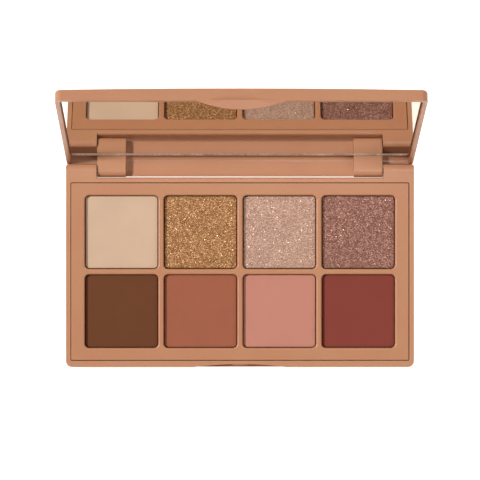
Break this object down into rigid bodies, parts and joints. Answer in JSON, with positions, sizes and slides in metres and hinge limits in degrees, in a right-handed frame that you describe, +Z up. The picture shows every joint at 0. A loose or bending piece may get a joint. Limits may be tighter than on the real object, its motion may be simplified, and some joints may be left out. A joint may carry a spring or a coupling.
{
  "type": "eyeshadow palette",
  "caption": "Shallow hinged compact with a grid of square pressed-powder pans in the base and a mirror in the lid.",
  "frame": {"origin": "centre of the base's footprint, on the plane that the base rests on", "axes": "+X runs across the palette (left to right seen from the front), +Y runs back towards the hinge, +Z is up"},
  "size_m": [0.112, 0.0864, 0.0651],
  "materials": {
    "moulded_shell": "soft satin moulded plastic, warm peach tan",
    "pan_metal": "stamped, satin",
    "mirror": "silvered glass with a polished edge",
    "pin_steel": "drawn wire, plain",
    "adhesive": "off-white double-sided adhesive",
    "label_paper": "blank coated paper in the shell's colour",
    "powder_cream": "matte pressed powder",
    "powder_gold": "pressed powder with glitter flakes",
    "powder_champagne": "pressed powder with glitter flakes",
    "powder_mauve": "pressed powder with glitter flakes",
    "powder_brown": "matte pressed powder",
    "powder_terracotta": "matte pressed powder",
    "powder_rose": "matte pressed powder",
    "powder_berry": "matte pressed powder"
  },
  "bodies": {
    "base": {"base_shell": "moulded_shell", "well_tray": "moulded_shell", "pan_adhesive_rings": "adhesive", "base_label": "label_paper", "hinge_pin_left": "pin_steel", "hinge_pin_right": "pin_steel", "pan_cream": "pan_metal", "pan_gold": "pan_metal", "pan_champagne": "pan_metal", "pan_mauve": "pan_metal", "pan_brown": "pan_metal", "pan_terracotta": "pan_metal", "pan_rose": "pan_metal", "pan_berry": "pan_metal", "powder_cream": "powder_cream", "powder_gold": "powder_gold", "powder_champagne": "powder_champagne", "powder_mauve": "powder_mauve", "powder_brown": "powder_brown", "powder_terracotta": "powder_terracotta", "powder_rose": "powder_rose", "powder_berry": "powder_berry"},
    "lid": {"lid_shell": "moulded_shell", "mirror_glass": "mirror", "mirror_tape": "adhesive"}
  },
  "joints": [
    {"name": "lid_hinge", "type": "hinge", "parent": "base", "child": "lid", "pos_m": [0, 0.0305, 0.0043], "axis": [1, 0, 0], "range_deg": [0, 105.5]}
  ]
}
